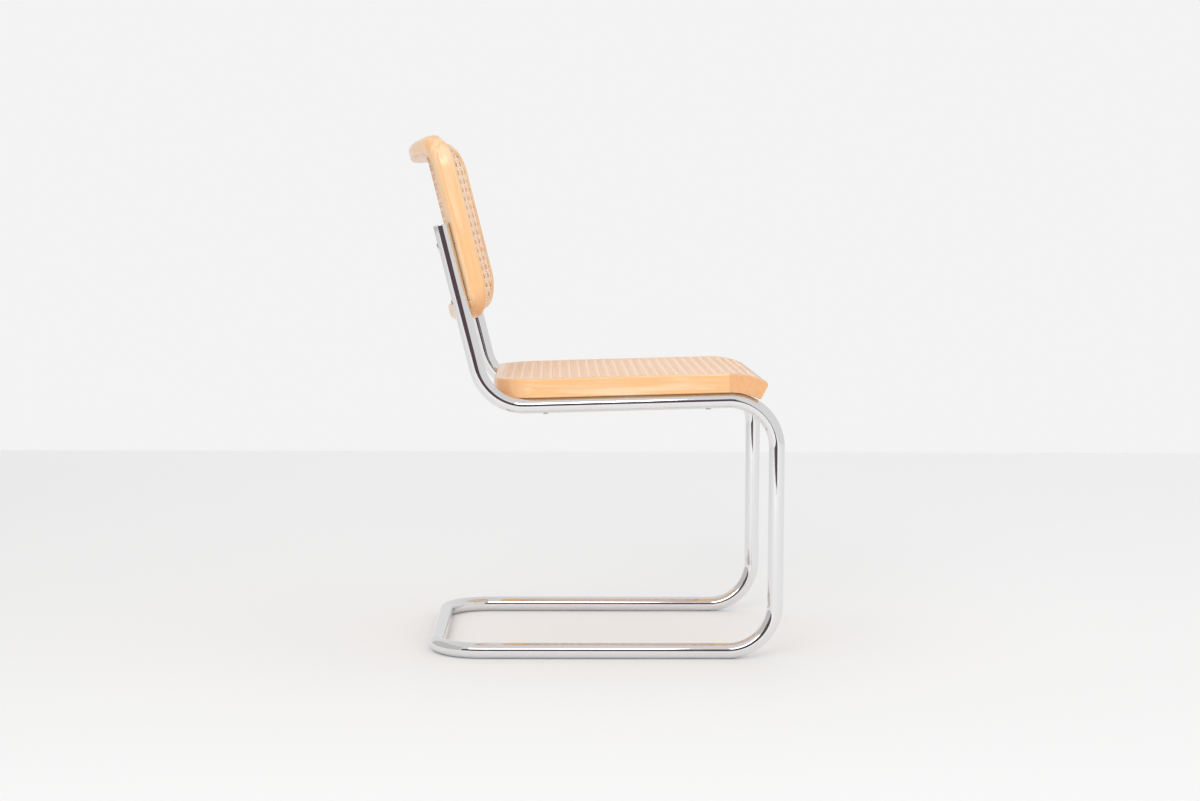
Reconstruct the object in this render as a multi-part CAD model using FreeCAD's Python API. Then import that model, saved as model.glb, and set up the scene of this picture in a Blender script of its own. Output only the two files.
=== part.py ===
import FreeCAD, Part
import math
import os

# Cantilever dining chair: one bent steel tube, a caned seat frame and a caned back frame.
# Units are millimetres. X runs across the chair, -Y is the side that the sitter faces, +Z is up.
# While modelling, y = 0 is the plane of the front legs and y grows to the rear.
# At the end everything is moved so that the origin lies under the middle of the whole chair.
# Left and right are the sitter's, so right is at -X.

# Steel tube
TUBE_DIAMETER = 25.0
TUBE_WALL = 2.0
OVERALL_WIDTH = 460.0
BEND_RADIUS = 75.0
BASE_DEPTH = 537.0
SEAT_TUBE_HEIGHT = 412.3
SEAT_PITCH = 1.74
SEAT_TUBE_RUN = 455.3
POST_LEAN = 14.18
POST_LENGTH = 291.0
# The sweep's closing line is turned away from the screw holes by this angle
TUBE_SEAM_TURN = 45.0

# End caps of the two posts
CAP_THICKNESS = 1.6
CAP_EDGE_ROUND = 1.0
CAP_PLUG_LENGTH = 12.0

# Seat frame
SEAT_THICKNESS = 30.0
SEAT_REAR_EDGE = 445.0
SEAT_RAIL_WIDTH = 42.0
SEAT_REAR_RAIL_WIDTH = 42.0
SEAT_REAR_CORNER_RADIUS = 72.0
SEAT_OPENING_CORNER_RADIUS = 14.0
SEAT_EDGE_ROUND = 3.0
FRONT_JOINT = 75.6
FRONT_CURVE_RADIUS = 128.0
FRONT_CURVE_ANGLE = 29.5
FRONT_TOP_ROUND = 7.0
FRONT_BOTTOM_ROUND = 3.5

# Back frame
BACK_POST_OVERLAP = 153.5
BACK_HEIGHT = 294.0
BACK_STILE_WIDTH = 28.0
BACK_RAIL_WIDTH = 28.0
BACK_THICKNESS = 28.0
BACK_BOW = 44.0
BACK_TOP_CORNER_RADIUS = 55.0
BACK_BOTTOM_CORNER_RADIUS = 60.0
BACK_OPENING_CORNER_RADIUS = 26.0
BACK_REAR_ROUND = 12.0
BACK_FRONT_ROUND = 8.5
BACK_OPENING_REAR_ROUND = 6.0
BACK_OPENING_FRONT_ROUND = 4.0

# Woven panels and the splines that hold them
CANE_THICKNESS = 1.5
CANE_LIP = 1.2
GROOVE_WIDTH = 5.0
GROOVE_DEPTH = 7.0
GROOVE_FLOOR_GAP = 0.8
SPLINE_HEIGHT = 5.6
SEAT_RIM = 13.0
SEAT_FRONT_RIM = 13.0
SEAT_PANEL_FRONT_CORNER = 12.0
BACK_RIM = 13.0

# The weave is stood for by a plain grid of openings over each frame's window
SEAT_CANE_OPENINGS = (12, 10)
BACK_CANE_OPENINGS = (12, 7)
CANE_BAR_WIDTH = 14.4

# Dowels
DOWEL_DIAMETER = 8.0
DOWEL_LENGTH = 36.0
SEAT_DOWEL_SPACING = 18.0
SEAT_REAR_DOWEL_SPACING = 11.0
SEAT_REAR_DOWEL_SETBACK = 31.0
SEAT_REAR_DOWEL_LENGTH = 30.0
SEAT_DOWEL_HEIGHT = 13.5
SEAT_REAR_DOWEL_HEIGHT = 16.5
BACK_DOWEL_SPACING = 11.0

# Screws
SCREW_DIAMETER = 4.5
SCREW_HEAD_DIAMETER = 9.0
SCREW_HEAD_DOME = 1.7
SCREW_COUNTERSINK = 2.2
SCREW_RIM_HEIGHT = 0.25
SCREW_GRIP = 20.0
SCREW_POINT = 4.0
SCREW_TIP_RADIUS = 0.4
SCREW_SLOT_WIDTH = 1.2
SCREW_SLOT_DEPTH = 0.9
SEAT_SCREWS_AT = (109.0, 364.0)
BACK_SCREWS_BELOW_POST_TOP = (29.5, 120.5)

# Clearances
SEATING_DEPTH = 0.2
TUBE_CLEARANCE = 0.15
DOWEL_CLEARANCE = 0.05
SCREW_CLEARANCE = 0.05
PANEL_CLEARANCE = 0.05
CAP_CLEARANCE = 0.1
HOLE_END_GAP = 0.5

# How far a cutting shape stands out of the face it cuts, the least corner radius, and a tolerance
CUT_OVERRUN = 1.0
LEAST_RADIUS = 1.0
NEAR = 0.01

# Values that follow from the ones above
TUBE_RADIUS = TUBE_DIAMETER / 2
TUBE_X = OVERALL_WIDTH / 2 - TUBE_RADIUS
HALF_WIDTH = OVERALL_WIDTH / 2
BACK_START = POST_LENGTH - BACK_POST_OVERLAP
PITCH = math.radians(SEAT_PITCH)
LEAN = math.radians(POST_LEAN)
SIDES = {"left": 1, "right": -1}
X_AXIS = FreeCAD.Vector(1, 0, 0)
Y_AXIS = FreeCAD.Vector(0, 1, 0)
Z_AXIS = FreeCAD.Vector(0, 0, 1)


def vector(x, y, z):
    return FreeCAD.Vector(x, y, z)


# Local frames: the seat frame lies along the seat bearers, the back frame along the posts

REAR_CORNER = vector(0, SEAT_TUBE_RUN, SEAT_TUBE_HEIGHT - SEAT_TUBE_RUN * math.tan(PITCH))
SEAT_PLACE = FreeCAD.Placement(
    vector(0, 0, SEAT_TUBE_HEIGHT), FreeCAD.Rotation(X_AXIS, -SEAT_PITCH))
BACK_PLACE = FreeCAD.Placement(REAR_CORNER, FreeCAD.Rotation(X_AXIS, -POST_LEAN))


def placed(shape, place):
    copy = shape.copy()
    copy.Placement = place.multiply(copy.Placement)
    return copy


def box(low, high):
    size = high - low
    return Part.makeBox(size.x, size.y, size.z, low)


def mirrored(shape):
    return shape.mirror(vector(0, 0, 0), X_AXIS)


# Paths made of straight runs joined by tangent arcs

def rounded_path(points, radius):
    edges = []
    start = points[0]
    for before, corner, after in zip(points, points[1:], points[2:]):
        into = (corner - before).normalize()
        out = (after - corner).normalize()
        turn = into.getAngle(out)
        reach = radius * math.tan(turn / 2)
        arc_start = corner - into * reach
        arc_end = corner + out * reach
        inward = (out - into).normalize()
        centre = corner + inward * (radius / math.cos(turn / 2))
        middle = centre - inward * radius
        edges.append(Part.makeLine(start, arc_start))
        edges.append(Part.Arc(arc_start, middle, arc_end).toShape())
        start = arc_end
    edges.append(Part.makeLine(start, points[-1]))
    return Part.Wire(edges)


def post_point(side, height):
    up = vector(0, math.sin(LEAN), math.cos(LEAN))
    return vector(side * TUBE_X, REAR_CORNER.y, REAR_CORNER.z) + up * height


def half_tube(radius, post_length):
    # The right half of the tube's path, from the top of the post to the middle of the rear bar
    corners = [
        post_point(-1, post_length),
        vector(-TUBE_X, REAR_CORNER.y, REAR_CORNER.z),
        vector(-TUBE_X, 0, SEAT_TUBE_HEIGHT),
        vector(-TUBE_X, 0, TUBE_RADIUS),
        vector(-TUBE_X, BASE_DEPTH, TUBE_RADIUS),
        vector(0, BASE_DEPTH, TUBE_RADIUS),
    ]
    path = rounded_path(corners, BEND_RADIUS)
    along = vector(0, -math.sin(LEAN), -math.cos(LEAN))
    ring = Part.makeCircle(radius, corners[0], along)
    ring.rotate(corners[0], along, TUBE_SEAM_TURN)
    return path.makePipeShell([Part.Wire([ring])], True, False)


def tube_space():
    # What the tube and its caps take out of the wood that is seated on them
    post_length = POST_LENGTH + CAP_THICKNESS + TUBE_CLEARANCE
    half = half_tube(TUBE_RADIUS + TUBE_CLEARANCE, post_length)
    return [half, mirrored(half)]


# Screws: one shape along +Z with its head below z = 0, used for the screw and for its hole

# The rim of the head stands a little proud of the round tube
SCREW_SEAT = TUBE_RADIUS + SCREW_RIM_HEIGHT
SCREW_LENGTH = SCREW_SEAT + TUBE_RADIUS + SCREW_GRIP


def screw_body(length, gap):
    shank = SCREW_DIAMETER / 2 + gap
    head = SCREW_HEAD_DIAMETER / 2 + gap
    cone = Part.makeCone(head, shank, SCREW_COUNTERSINK)
    straight = Part.makeCylinder(shank, length - SCREW_POINT)
    tip = SCREW_TIP_RADIUS + gap
    point = Part.makeCone(shank, tip, SCREW_POINT, vector(0, 0, length - SCREW_POINT))
    return cone.fuse([straight, point]).removeSplitter()


def screw_head():
    head = SCREW_HEAD_DIAMETER / 2
    ball = (head ** 2 + SCREW_HEAD_DOME ** 2) / (2 * SCREW_HEAD_DOME)
    dome = Part.makeSphere(ball, vector(0, 0, ball - SCREW_HEAD_DOME))
    dome = dome.common(Part.makeCylinder(head, SCREW_HEAD_DOME, vector(0, 0, -SCREW_HEAD_DOME)))
    slot = box(vector(-head, -SCREW_SLOT_WIDTH / 2, -SCREW_HEAD_DOME),
               vector(head, SCREW_SLOT_WIDTH / 2, SCREW_SLOT_DEPTH - SCREW_HEAD_DOME))
    return dome.cut(slot)


def screw():
    return screw_body(SCREW_LENGTH, 0).fuse(screw_head()).removeSplitter()


def seat_screw_places(side):
    return [SEAT_PLACE.multiply(FreeCAD.Placement(
        vector(side * TUBE_X, at, -SCREW_SEAT), FreeCAD.Rotation())) for at in SEAT_SCREWS_AT]


def back_screw_places(side):
    turn = FreeCAD.Rotation(X_AXIS, 90)
    return [BACK_PLACE.multiply(FreeCAD.Placement(
        vector(side * TUBE_X, SCREW_SEAT, POST_LENGTH - drop), turn))
        for drop in BACK_SCREWS_BELOW_POST_TOP]


def screw_group(places):
    return Part.makeCompound([placed(screw(), place) for place in places])


def screw_holes(side):
    places = seat_screw_places(side) + back_screw_places(side)
    return [placed(screw_body(SCREW_LENGTH + HOLE_END_GAP, SCREW_CLEARANCE), place)
            for place in places]


# Steel parts

def tube_frame():
    half = half_tube(TUBE_RADIUS, POST_LENGTH)
    half = half.cut(half_tube(TUBE_RADIUS - TUBE_WALL, POST_LENGTH))
    half = half.cut(screw_holes(-1))
    return half.fuse(mirrored(half)).removeSplitter()


def post_cap(side):
    top = Part.makeCylinder(TUBE_RADIUS, CAP_THICKNESS)
    rim = [edge for edge in top.Edges if edge.CenterOfMass.z > CAP_THICKNESS - NEAR]
    top = top.makeFillet(CAP_EDGE_ROUND, rim)
    plug = Part.makeCylinder(TUBE_RADIUS - TUBE_WALL - CAP_CLEARANCE, CAP_PLUG_LENGTH,
                             vector(0, 0, -CAP_PLUG_LENGTH))
    top = top.fuse(plug).removeSplitter()
    turn = FreeCAD.Rotation(X_AXIS, -POST_LEAN)
    return placed(top, FreeCAD.Placement(post_point(side, POST_LENGTH), turn))


# Seat frame, in its own frame: y to the rear along the bearers, z square to them.
# The panel's top face is flush with the wood outside the groove.

SEAT_BOTTOM = TUBE_RADIUS - SEATING_DEPTH
SEAT_TOP = SEAT_BOTTOM + SEAT_THICKNESS


def seat_layer(top_drop, bottom_drop):
    # Everything between two depths below the seat's top face, with the rolled front
    outer = FRONT_CURVE_RADIUS - top_drop
    inner = FRONT_CURVE_RADIUS - bottom_drop
    centre = vector(0, FRONT_JOINT, SEAT_TOP - FRONT_CURVE_RADIUS)

    def on_curve(radius, angle):
        turn = math.radians(angle)
        return centre + vector(0, -radius * math.sin(turn), radius * math.cos(turn))

    rear_top = vector(0, SEAT_REAR_EDGE, SEAT_TOP - top_drop)
    rear_bottom = vector(0, SEAT_REAR_EDGE, SEAT_TOP - bottom_drop)
    end = FRONT_CURVE_ANGLE
    edges = [
        Part.makeLine(rear_top, on_curve(outer, 0)),
        Part.Arc(on_curve(outer, 0), on_curve(outer, end / 2), on_curve(outer, end)).toShape(),
        Part.makeLine(on_curve(outer, end), on_curve(inner, end)),
        Part.Arc(on_curve(inner, end), on_curve(inner, end / 2), on_curve(inner, 0)).toShape(),
        Part.makeLine(on_curve(inner, 0), rear_bottom),
        Part.makeLine(rear_bottom, rear_top),
    ]
    face = Part.Face(Part.Wire(edges))
    face.translate(vector(-HALF_WIDTH, 0, 0))
    return face.extrude(vector(OVERALL_WIDTH, 0, 0))


def outline_block(corners, radii, low, high, axis):
    # A prism on a closed outline of straight sides and tangent corner arcs
    count = len(corners)
    edges = []
    ends = []
    for index, corner in enumerate(corners):
        into = (corner - corners[index - 1]).normalize()
        out = (corners[(index + 1) % count] - corner).normalize()
        radius = radii[index]
        start = corner - into * radius
        end = corner + out * radius
        ends.append((start, end))
        if radius > 0:
            middle = corner + (out - into) * radius * (1 - math.sqrt(0.5))
            edges.append(Part.Arc(start, middle, end).toShape())
    for index in range(count):
        edges.append(Part.makeLine(ends[index][1], ends[(index + 1) % count][0]))
    wire = Part.Wire(Part.__sortEdges__(edges))
    face = Part.Face(wire)
    face.translate(axis * low)
    return face.extrude(axis * (high - low))


def seat_block(side_inset, front, rear_inset, front_radius, rear_radius):
    half = HALF_WIDTH - side_inset
    rear = SEAT_REAR_EDGE - rear_inset
    corners = [vector(-half, front, 0), vector(half, front, 0),
               vector(half, rear, 0), vector(-half, rear, 0)]
    radii = [front_radius, front_radius, rear_radius, rear_radius]
    return outline_block(corners, radii, -FRONT_CURVE_RADIUS, 2 * SEAT_TOP, Z_AXIS)


def seat_panel_block(extra):
    # Everything inside the outer wall of the groove, less an extra inset all round
    rim_angle = math.radians(FRONT_CURVE_ANGLE) - SEAT_FRONT_RIM / FRONT_CURVE_RADIUS
    front = FRONT_JOINT - FRONT_CURVE_RADIUS * math.sin(rim_angle)
    inset = SEAT_RIM + extra
    front_radius = max(SEAT_PANEL_FRONT_CORNER - extra, LEAST_RADIUS)
    return seat_block(inset, front + extra, inset, front_radius, SEAT_REAR_CORNER_RADIUS - inset)


def seat_blank():
    body = seat_layer(0, SEAT_THICKNESS)
    upright = [edge for edge in body.Edges
               if abs(abs(edge.CenterOfMass.x) - HALF_WIDTH) < NEAR
               and abs(edge.CenterOfMass.y - SEAT_REAR_EDGE) < NEAR]
    body = body.makeFillet(SEAT_REAR_CORNER_RADIUS, upright)
    tips = sorted((edge for edge in body.Edges
                   if abs(edge.CenterOfMass.x) < NEAR and edge.CenterOfMass.y < FRONT_JOINT / 2),
                  key=lambda edge: edge.CenterOfMass.z)
    body = body.makeFillet(FRONT_BOTTOM_ROUND, [tips[0]])
    upper = [edge for edge in body.Edges
             if (edge.CenterOfMass - tips[1].CenterOfMass).Length < NEAR]
    body = body.makeFillet(FRONT_TOP_ROUND, upper)
    rear_faces = SEAT_REAR_EDGE - SEAT_REAR_CORNER_RADIUS

    def on_outline(edge):
        centre = edge.CenterOfMass
        across = edge.BoundBox.ZLength > SEAT_THICKNESS / 2 and centre.y > rear_faces
        straight = abs(abs(centre.x) - HALF_WIDTH) < NEAR
        return not across and (straight or centre.y > rear_faces)

    rim = [edge for edge in body.Edges if on_outline(edge)]
    return body.makeFillet(SEAT_EDGE_ROUND, rim)


def seat_opening():
    return seat_block(SEAT_RAIL_WIDTH, FRONT_JOINT, SEAT_REAR_RAIL_WIDTH, 0,
                      SEAT_OPENING_CORNER_RADIUS)


def seat_groove():
    ring = seat_panel_block(0).cut(seat_panel_block(GROOVE_WIDTH))
    return ring.common(seat_layer(-CUT_OVERRUN, GROOVE_DEPTH))


def seat_recess():
    return seat_panel_block(0).common(seat_layer(-CUT_OVERRUN, CANE_THICKNESS))


def grid_spans(low, high, count):
    # Equal openings between bars, with half a bar left at both ends of the window
    pitch = (high - low) / count
    starts = [low + index * pitch + CANE_BAR_WIDTH / 2 for index in range(count)]
    return [(start, start + pitch - CANE_BAR_WIDTH) for start in starts]


def seat_cane():
    inset = GROOVE_WIDTH - CANE_LIP - PANEL_CLEARANCE
    sheet = seat_panel_block(inset).common(seat_layer(0, CANE_THICKNESS))
    across, deep = SEAT_CANE_OPENINGS
    window = HALF_WIDTH - SEAT_RAIL_WIDTH
    rear = SEAT_REAR_EDGE - SEAT_REAR_RAIL_WIDTH
    openings = [box(vector(left, front, SEAT_BOTTOM), vector(right, back, SEAT_TOP + CUT_OVERRUN))
                for left, right in grid_spans(-window, window, across)
                for front, back in grid_spans(FRONT_JOINT, rear, deep)]
    sheet = sheet.cut(Part.makeCompound(openings))
    lip = seat_panel_block(inset).cut(seat_panel_block(GROOVE_WIDTH))
    lip = lip.common(seat_layer(0, GROOVE_DEPTH - GROOVE_FLOOR_GAP))
    return placed(sheet.fuse(lip).removeSplitter(), SEAT_PLACE)


def seat_spline():
    ring = seat_panel_block(PANEL_CLEARANCE)
    ring = ring.cut(seat_panel_block(GROOVE_WIDTH - CANE_LIP - 2 * PANEL_CLEARANCE))
    return placed(ring.common(seat_layer(0, SPLINE_HEIGHT)), SEAT_PLACE)


def front_dowel_middles():
    centre = HALF_WIDTH - SEAT_RAIL_WIDTH / 2
    return [vector(side * (centre + step * SEAT_DOWEL_SPACING / 2), FRONT_JOINT,
                   SEAT_BOTTOM + SEAT_DOWEL_HEIGHT)
            for side in (1, -1) for step in (1, -1)]


def rear_dowel_middles():
    middle = SEAT_REAR_EDGE - SEAT_REAR_DOWEL_SETBACK
    return [vector(side * (HALF_WIDTH - SEAT_RAIL_WIDTH),
                   middle + step * SEAT_REAR_DOWEL_SPACING / 2,
                   SEAT_BOTTOM + SEAT_REAR_DOWEL_HEIGHT)
            for side in (1, -1) for step in (1, -1)]


def dowels(middles, direction, length, gap, end_gap):
    whole = length + 2 * end_gap
    radius = DOWEL_DIAMETER / 2 + gap
    return [Part.makeCylinder(radius, whole, middle - direction * (whole / 2), direction)
            for middle in middles]


def seat_front_dowels(gap, end_gap):
    return dowels(front_dowel_middles(), Y_AXIS, DOWEL_LENGTH, gap, end_gap)


def seat_rear_dowels(gap, end_gap):
    return dowels(rear_dowel_middles(), X_AXIS, SEAT_REAR_DOWEL_LENGTH, gap, end_gap)


def seat_dowel_holes():
    return (seat_front_dowels(DOWEL_CLEARANCE, HOLE_END_GAP)
            + seat_rear_dowels(DOWEL_CLEARANCE, HOLE_END_GAP))


def seat_frame():
    frame = seat_blank().cut([seat_opening(), seat_groove(), seat_recess()])
    frame = frame.cut(seat_dowel_holes())
    frame = placed(frame, SEAT_PLACE)
    return frame.cut(tube_space() + screw_holes(1) + screw_holes(-1))


def seat_region(low_x, high_x, low_y, high_y):
    far = 2 * SEAT_REAR_EDGE
    region = box(vector(low_x, low_y, -far), vector(high_x, high_y, far))
    return placed(region, SEAT_PLACE)


def seat_rails():
    frame = seat_frame()
    inner = HALF_WIDTH - SEAT_RAIL_WIDTH
    outer = 2 * OVERALL_WIDTH
    far = 2 * SEAT_REAR_EDGE
    rails = {"seat_front_rail": seat_region(-outer, outer, -far, FRONT_JOINT),
             "seat_side_rail_left": seat_region(inner, outer, FRONT_JOINT, far),
             "seat_side_rail_right": seat_region(-outer, -inner, FRONT_JOINT, far),
             "seat_rear_rail": seat_region(-inner, inner, FRONT_JOINT, far)}
    return {name: frame.common(region) for name, region in rails.items()}


# Back frame, in its own frame: z up along the posts, -y towards the sitter, posts at y = 0.
# Its rear face is a cylinder about a vertical axis that touches both posts.

def back_rear_radius():
    # From the bow and from the rear face lying against the posts
    reach = TUBE_RADIUS - SEATING_DEPTH
    drop = BACK_BOW - reach
    return (TUBE_X ** 2 + drop ** 2 - reach ** 2) / (2 * (drop + reach))


BACK_REAR_RADIUS = back_rear_radius()
BACK_CENTRE_Y = (BACK_BOW - TUBE_RADIUS + SEATING_DEPTH) - BACK_REAR_RADIUS
BACK_FRONT_RADIUS = BACK_REAR_RADIUS - BACK_THICKNESS
BACK_TOP = BACK_START + BACK_HEIGHT
BACK_MIDDLE = BACK_START + BACK_HEIGHT / 2
BACK_REACH = BACK_BOW + BACK_THICKNESS + 2 * TUBE_DIAMETER


def back_cylinder(radius):
    centre = vector(0, BACK_CENTRE_Y, BACK_MIDDLE - BACK_HEIGHT)
    return Part.makeCylinder(radius, 2 * BACK_HEIGHT, centre, Z_AXIS)


def back_layer(front_drop, rear_drop):
    # Between two depths behind the front face
    outer = back_cylinder(BACK_FRONT_RADIUS + rear_drop)
    return outer.cut(back_cylinder(BACK_FRONT_RADIUS + front_drop))


def back_block(side_inset, rail_inset, top_radius, bottom_radius):
    half = HALF_WIDTH - side_inset
    low = BACK_START + rail_inset
    high = BACK_TOP - rail_inset
    corners = [vector(-half, 0, low), vector(half, 0, low), vector(half, 0, high),
               vector(-half, 0, high)]
    radii = [bottom_radius, bottom_radius, top_radius, top_radius]
    return outline_block(corners, radii, -BACK_REACH, BACK_REACH, Y_AXIS)


def back_panel_block(extra):
    inset = BACK_RIM + extra
    return back_block(inset, inset, BACK_TOP_CORNER_RADIUS - inset,
                      BACK_BOTTOM_CORNER_RADIUS - inset)


def edges_between(shape, low_radius, high_radius, outer):
    # The outline edges on one of the two bowed faces, outside or inside the ring
    limit_x = HALF_WIDTH - BACK_STILE_WIDTH / 2
    limit_z = BACK_HEIGHT / 2 - BACK_RAIL_WIDTH / 2
    chosen = []
    for edge in shape.Edges:
        point = edge.valueAt((edge.FirstParameter + edge.LastParameter) / 2)
        ends = [vertex.Point for vertex in edge.Vertexes] + [point]
        radii = [math.hypot(end.x, end.y - BACK_CENTRE_Y) for end in ends]
        far_out = abs(point.x) > limit_x or abs(point.z - BACK_MIDDLE) > limit_z
        if min(radii) > low_radius and max(radii) < high_radius and far_out == outer:
            chosen.append(edge)
    return chosen


def back_blank():
    block = back_block(0, 0, BACK_TOP_CORNER_RADIUS, BACK_BOTTOM_CORNER_RADIUS)
    window = back_block(BACK_STILE_WIDTH, BACK_RAIL_WIDTH, BACK_OPENING_CORNER_RADIUS,
                        BACK_OPENING_CORNER_RADIUS)
    body = block.cut(window).common(back_layer(0, BACK_THICKNESS))
    near_rear = (BACK_REAR_RADIUS - NEAR, BACK_REAR_RADIUS + NEAR)
    near_front = (BACK_FRONT_RADIUS - NEAR, BACK_FRONT_RADIUS + NEAR)
    body = body.makeFillet(BACK_REAR_ROUND, edges_between(body, *near_rear, True))
    body = body.makeFillet(BACK_OPENING_REAR_ROUND, edges_between(body, *near_rear, False))
    body = body.makeFillet(BACK_FRONT_ROUND, edges_between(body, *near_front, True))
    return body.makeFillet(BACK_OPENING_FRONT_ROUND, edges_between(body, *near_front, False))


def back_groove():
    ring = back_panel_block(0).cut(back_panel_block(GROOVE_WIDTH))
    return ring.common(back_layer(-CUT_OVERRUN, GROOVE_DEPTH))


def back_recess():
    return back_panel_block(0).common(back_layer(-CUT_OVERRUN, CANE_THICKNESS))


def back_cane():
    inset = GROOVE_WIDTH - CANE_LIP - PANEL_CLEARANCE
    sheet = back_panel_block(inset).common(back_layer(0, CANE_THICKNESS))
    across, high = BACK_CANE_OPENINGS
    window = HALF_WIDTH - BACK_STILE_WIDTH
    low_edge = BACK_START + BACK_RAIL_WIDTH
    high_edge = BACK_TOP - BACK_RAIL_WIDTH
    openings = [box(vector(left, -BACK_REACH, low), vector(right, BACK_REACH, top))
                for left, right in grid_spans(-window, window, across)
                for low, top in grid_spans(low_edge, high_edge, high)]
    sheet = sheet.cut(Part.makeCompound(openings))
    lip = back_panel_block(inset).cut(back_panel_block(GROOVE_WIDTH))
    lip = lip.common(back_layer(0, GROOVE_DEPTH - GROOVE_FLOOR_GAP))
    return placed(sheet.fuse(lip).removeSplitter(), BACK_PLACE)


def back_spline():
    ring = back_panel_block(PANEL_CLEARANCE)
    ring = ring.cut(back_panel_block(GROOVE_WIDTH - CANE_LIP - 2 * PANEL_CLEARANCE))
    return placed(ring.common(back_layer(0, SPLINE_HEIGHT)), BACK_PLACE)


BACK_JOINT_X = HALF_WIDTH - max(BACK_TOP_CORNER_RADIUS, BACK_BOTTOM_CORNER_RADIUS)
BACK_MIDDLE_RADIUS = (BACK_REAR_RADIUS + BACK_FRONT_RADIUS) / 2


def back_dowels(low, gap, end_gap):
    # Two dowels at each end of a rail, laid along the bow at the joint
    turn = math.asin(BACK_JOINT_X / BACK_MIDDLE_RADIUS)
    depth = BACK_CENTRE_Y + BACK_MIDDLE_RADIUS * math.cos(turn)
    pins = []
    for side in (1, -1):
        direction = vector(side * math.cos(turn), -math.sin(turn), 0)
        middles = [vector(side * BACK_JOINT_X, depth,
                          low + BACK_RAIL_WIDTH / 2 + step * BACK_DOWEL_SPACING / 2)
                   for step in (1, -1)]
        pins += dowels(middles, direction, DOWEL_LENGTH, gap, end_gap)
    return pins


def back_frame():
    frame = back_blank().cut([back_groove(), back_recess()])
    frame = frame.cut(back_dowels(BACK_START, DOWEL_CLEARANCE, HOLE_END_GAP)
                      + back_dowels(BACK_TOP - BACK_RAIL_WIDTH, DOWEL_CLEARANCE, HOLE_END_GAP))
    frame = placed(frame, BACK_PLACE)
    return frame.cut(tube_space() + screw_holes(1) + screw_holes(-1))


def back_region(low_x, high_x, low_z, high_z):
    far = 2 * BACK_REAR_RADIUS
    region = box(vector(low_x, -far, low_z), vector(high_x, far, high_z))
    return placed(region, BACK_PLACE)


def back_members():
    frame = back_frame()
    outer = 2 * OVERALL_WIDTH
    low = BACK_START - BACK_HEIGHT
    high = BACK_TOP + BACK_HEIGHT
    members = {
        "back_stile_left": back_region(BACK_JOINT_X, outer, low, high),
        "back_stile_right": back_region(-outer, -BACK_JOINT_X, low, high),
        "back_top_rail": back_region(-BACK_JOINT_X, BACK_JOINT_X, BACK_MIDDLE, high),
        "back_bottom_rail": back_region(-BACK_JOINT_X, BACK_JOINT_X, low, BACK_MIDDLE),
    }
    return {name: frame.common(region) for name, region in members.items()}


def dowel_group(pins, place):
    return placed(Part.makeCompound(pins), place)


def build():
    parts = {"tube_frame": tube_frame()}
    parts.update(seat_rails())
    parts["seat_cane"] = seat_cane()
    parts["seat_spline"] = seat_spline()
    parts["seat_dowels_front"] = dowel_group(seat_front_dowels(0, 0), SEAT_PLACE)
    parts["seat_dowels_rear"] = dowel_group(seat_rear_dowels(0, 0), SEAT_PLACE)
    parts.update(back_members())
    parts["back_cane"] = back_cane()
    parts["back_spline"] = back_spline()
    top_rail = BACK_TOP - BACK_RAIL_WIDTH
    parts["back_dowels_top"] = dowel_group(back_dowels(top_rail, 0, 0), BACK_PLACE)
    parts["back_dowels_bottom"] = dowel_group(back_dowels(BACK_START, 0, 0), BACK_PLACE)
    for name, side in SIDES.items():
        parts["post_cap_" + name] = post_cap(side)
        parts["seat_screws_" + name] = screw_group(seat_screw_places(side))
        parts["back_screws_" + name] = screw_group(back_screw_places(side))
    return parts


def depth_middle(parts):
    # The front is the outside of the legs and the rear is the bowed face of the top rail
    boxes = [shape.optimalBoundingBox(True) for shape in parts.values()]
    return (min(each.YMin for each in boxes) + max(each.YMax for each in boxes)) / 2


def write(parts):
    os.makedirs("parts", exist_ok=True)
    shift = FreeCAD.Placement(vector(0, -depth_middle(parts), 0), FreeCAD.Rotation())
    for name, shape in parts.items():
        moved = placed(shape, shift)
        solids = moved.Solids
        print(name, "solids", len(solids), "valid", moved.isValid(),
              "volume", round(moved.Volume, 1))
        whole = solids[0] if len(solids) == 1 else Part.makeCompound(solids)
        whole.exportStep("parts/" + name + ".step")


write(build())
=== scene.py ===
import math

import bpy
import numpy as np
from mathutils import Matrix, Vector


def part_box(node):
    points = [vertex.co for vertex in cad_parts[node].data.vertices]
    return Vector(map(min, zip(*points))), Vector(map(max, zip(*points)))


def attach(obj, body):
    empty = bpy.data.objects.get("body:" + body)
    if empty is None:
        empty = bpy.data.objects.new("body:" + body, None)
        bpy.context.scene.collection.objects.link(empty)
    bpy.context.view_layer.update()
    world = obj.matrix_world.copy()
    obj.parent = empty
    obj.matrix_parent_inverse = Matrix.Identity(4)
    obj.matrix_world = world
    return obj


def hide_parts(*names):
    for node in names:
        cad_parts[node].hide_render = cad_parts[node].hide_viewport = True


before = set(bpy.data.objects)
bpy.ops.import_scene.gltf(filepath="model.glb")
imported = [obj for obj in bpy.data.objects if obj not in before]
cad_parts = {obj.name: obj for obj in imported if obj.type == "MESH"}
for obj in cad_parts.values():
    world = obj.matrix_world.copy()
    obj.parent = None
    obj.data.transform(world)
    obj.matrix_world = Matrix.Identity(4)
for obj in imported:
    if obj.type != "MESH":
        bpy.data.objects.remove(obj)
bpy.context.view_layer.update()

bl_info = {
    "name": "Cantilever chair looks",
    "version": (1, 0, 0),
    "blender": (4, 5, 0),
    "location": "3D View > Sidebar > Chair",
    "description": "Chromed tube, lacquered beech and woven cane around the packed chair",
    "category": "Object",
}

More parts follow.
